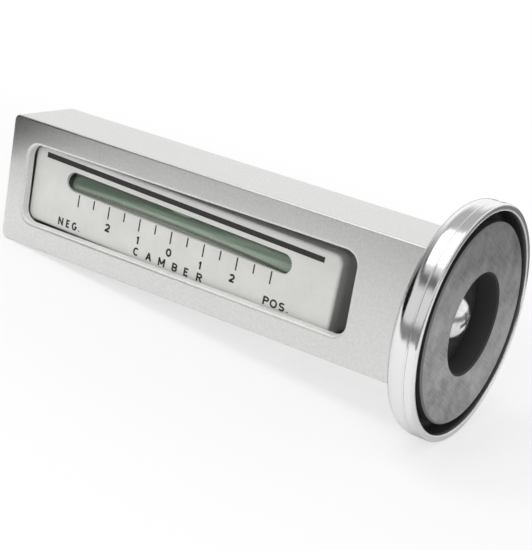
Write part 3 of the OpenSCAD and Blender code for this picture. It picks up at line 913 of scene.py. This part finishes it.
class Studio:
    """Paper, light and camera."""

    def __init__(self, plane: RestingPlane, paper: Paper, card: Card, shot: Shot) -> None:
        self.plane = plane
        self.sheet = paper
        self.card = card
        self.shot = shot

    def paper(self) -> None:
        """Sheet of white paper the gauge lies on, an oval that shows only its shadow and fades out."""
        s = self.sheet
        rows, columns = 24, 96
        r = np.linspace(0.002, 1.0, rows)[:, None]
        a = np.linspace(0, 2 * math.pi, columns, endpoint=False)[None, :]
        flat = np.stack([s.half_x * r * np.cos(a), s.half_y * r * np.sin(a), 0 * r * a], axis=-1)
        flat = flat.reshape(-1, 3)
        turned = Matrix.Rotation(math.radians(self.plane.slope), 3, "Y")
        middle = turned @ (Vector(s.middle) - Vector((0, 0, self.plane.depth * MM)))
        points = flat @ np.array(turned).T + np.array(middle)
        faces = grid_faces(rows, columns, True).tolist()
        faces.append(list(range(columns))[::-1])
        sheet = object_of("paper_sheet", points, faces)
        look = bpy.data.materials.new("white_paper")
        g = Graph(look)
        here = g.add("TexCoord").outputs["Object"]
        fibre = g.noise(g.place_mm(), 0.6, 3.0)
        matt = g.add("BsdfPrincipled", None, {
            "Base Color": g.blend(fibre, linear("eaeaea"), linear("eeeeee")),
            "Roughness": 0.9, "Specular IOR Level": 0.1, "Normal": g.bump(fibre, 0.01)})
        from_middle = g.add("VectorMath", {"operation": "SUBTRACT"}, {0: here, 1: tuple(middle)}).outputs[0]
        part = g.add("VectorMath", {"operation": "DIVIDE"}, {
            0: from_middle, 1: (s.half_x, s.half_y, 1.0)}).outputs[0]
        radius = g.add("VectorMath", {"operation": "LENGTH"}, {0: part}).outputs["Value"]
        fade = g.spread(radius, s.fade_from, s.fade_to, s.white_inside, 1.0)
        seen = g.math("MULTIPLY", g.add("LightPath").outputs["Is Camera Ray"], fade)
        white = g.add("Emission", None, {"Color": (1, 1, 1, 1), "Strength": 1.0})
        mixed = g.add("MixShader", None, {0: seen, 1: matt.outputs[0], 2: white.outputs[0]})
        g.add("OutputMaterial", None, {"Surface": mixed.outputs[0]})
        sheet.data.materials.append(look)

    def world(self) -> None:
        """White behind everything; what lights and mirrors is a soft studio of greys.

        Behind the gauge stands a white backdrop with a grey upper part, in front of it a lighter
        grey wall with a dark gap under the lamp; the room is dark far left and beyond the paper.
        """
        world = bpy.data.worlds.new("studio_world")
        bpy.context.scene.world = world
        g = Graph(world)
        axes = g.add("SeparateXYZ", None, {0: g.add("TexCoord").outputs["Generated"]})
        up = axes.outputs["Z"]
        front = g.spread(axes.outputs["Y"], 0.2, -0.2, 0.0, 1.0)
        back_level = g.spread(up, 0.50, 0.70, 1.0, 0.45)
        gap = g.math("MULTIPLY", g.spread(up, 0.50, 0.58, 0.0, 1.0), g.spread(up, 0.66, 0.74, 1.0, 0.0))
        front_level = g.math("SUBTRACT", 0.70, g.math("MULTIPLY", gap, 0.6))
        side = g.spread(axes.outputs["X"], -0.72, -0.9, 1.0, 0.25)
        sky = g.math("MULTIPLY", g.spread(front, 0.0, 1.0, back_level, front_level), side)
        level = g.spread(up, -0.03, 0.03, 0.2, sky)
        studio = g.add("Background", None, {"Color": (1, 1, 1, 1), "Strength": level})
        white = g.add("Background", None, {"Color": (1, 1, 1, 1), "Strength": 1.0})
        seen = g.add("LightPath").outputs["Is Camera Ray"]
        mixed = g.add("MixShader", None, {0: seen, 1: studio.outputs[0], 2: white.outputs[0]})
        g.add("OutputWorld", None, {"Surface": mixed.outputs[0]})

    def lamp(self, name: str, place: tuple[float, float, float], size: tuple[float, float], energy: float,
             mirrors: bool) -> None:
        """One soft rectangular lamp aimed at the bar.

        Args:
            name: Name of the lamp.
            place: Its centre in metres.
            size: Its two sides in metres.
            energy: Its power in watts.
            mirrors: Whether it is seen in shiny surfaces; if not, it only lights what is matt.
        """
        data = bpy.data.lights.new(name, "AREA")
        data.shape = "RECTANGLE"
        data.size, data.size_y = size
        data.energy = energy
        lamp = bpy.data.objects.new(name, data)
        lamp.location = place
        aim = Vector((place[0], place[1], 0.0)) if mirrors else Vector((-0.08, 0.0, 0.0))
        lamp.rotation_euler = (Vector(place) - aim).to_track_quat("Z", "Y").to_euler()
        lamp.visible_glossy = mirrors
        bpy.context.scene.collection.objects.link(lamp)

    def flag(self) -> None:
        """Small black card left of the bar, outside the picture, that only mirrors in the metal."""
        c = self.card
        corners_of_card = np.array([
            (c.x, c.y0, c.z0), (c.x, c.y1, c.z0), (c.x, c.y1, c.z1), (c.x, c.y0, c.z1)])
        card = object_of("black_card", corners_of_card, [[0, 1, 2, 3]], False)
        look = bpy.data.materials.new("black_card")
        g = Graph(look)
        matt = g.add("BsdfDiffuse", None, {"Color": linear("0a0a0a")})
        g.add("OutputMaterial", None, {"Surface": matt.outputs[0]})
        card.data.materials.append(look)
        card.visible_camera = card.visible_shadow = card.visible_diffuse = False

    def camera(self) -> None:
        """Camera at the picture's viewpoint, from its turn vector (axis times angle, looking along +Z)."""
        s = self.shot
        turn = Vector(s.turn)
        to_view = Matrix.Rotation(turn.length, 3, turn.normalized())
        right, down, ahead = (Vector(row) for row in to_view)
        data = bpy.data.cameras.new("picture_camera")
        data.sensor_fit = "HORIZONTAL"
        data.sensor_width = s.sensor
        data.lens = s.focal_px / s.width_px * s.sensor
        data.clip_start, data.clip_end = 0.01, 50.0
        camera = bpy.data.objects.new("picture_camera", data)
        camera.matrix_world = Matrix.Translation(Vector(s.place) * MM) @ Matrix(
            (right, -down, -ahead)).transposed().to_4x4()
        bpy.context.scene.collection.objects.link(camera)
        bpy.context.scene.camera = camera

    def build(self) -> None:
        """Makes the whole studio."""
        self.camera()
        self.world()
        self.lamp("overhead_softbox", (-0.28, -0.24, 0.95), (1.0, 0.69), 3.0, True)
        self.lamp("overhead_fill", (-0.28, -0.30, 0.90), (0.8, 0.6), 1.8, False)
        self.lamp("front_fill", (-0.06, -0.70, 0.38), (0.5, 0.4), 2.0, False)
        self.flag()
        self.paper()
        bpy.context.scene.view_settings.view_transform = "Standard"


# ---------------------------------------------------------------- assembly


def dress_nodes(frame: dict, looks: dict[str, bpy.types.Material]) -> None:
    """Puts each CAD node's finish on it, by its slot in the record."""
    slots = {entry["node"]: entry["material_slot"] for entry in frame["record"]["subparts"]}
    for name, node in frame["nodes"].items():
        node.data.materials.clear()
        node.data.materials.append(looks[slots[name]])
        log.info("%s: finish %s", name, slots[name])


def main() -> None:
    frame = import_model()
    looks = {slot: finish.material() for slot, finish in FINISHES.items()}
    Studio(PLANE, PAPER, CARD, SHOT).build()
    dress_nodes(frame, looks)
    DialPrint(PRINT, SEAT, INK.material()).build()
    vial = Vial(VIAL, SEAT)
    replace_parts(vial.filling(looks["vial_fluid"]), "vial_liquid")
    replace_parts(vial.bubble(looks["bubble_air"]), "air_bubble")
    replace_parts(CarrierSpring(SPRING).build(looks["spring_steel"]), "carrier_spring")


if __name__ == "__main__":
    main()
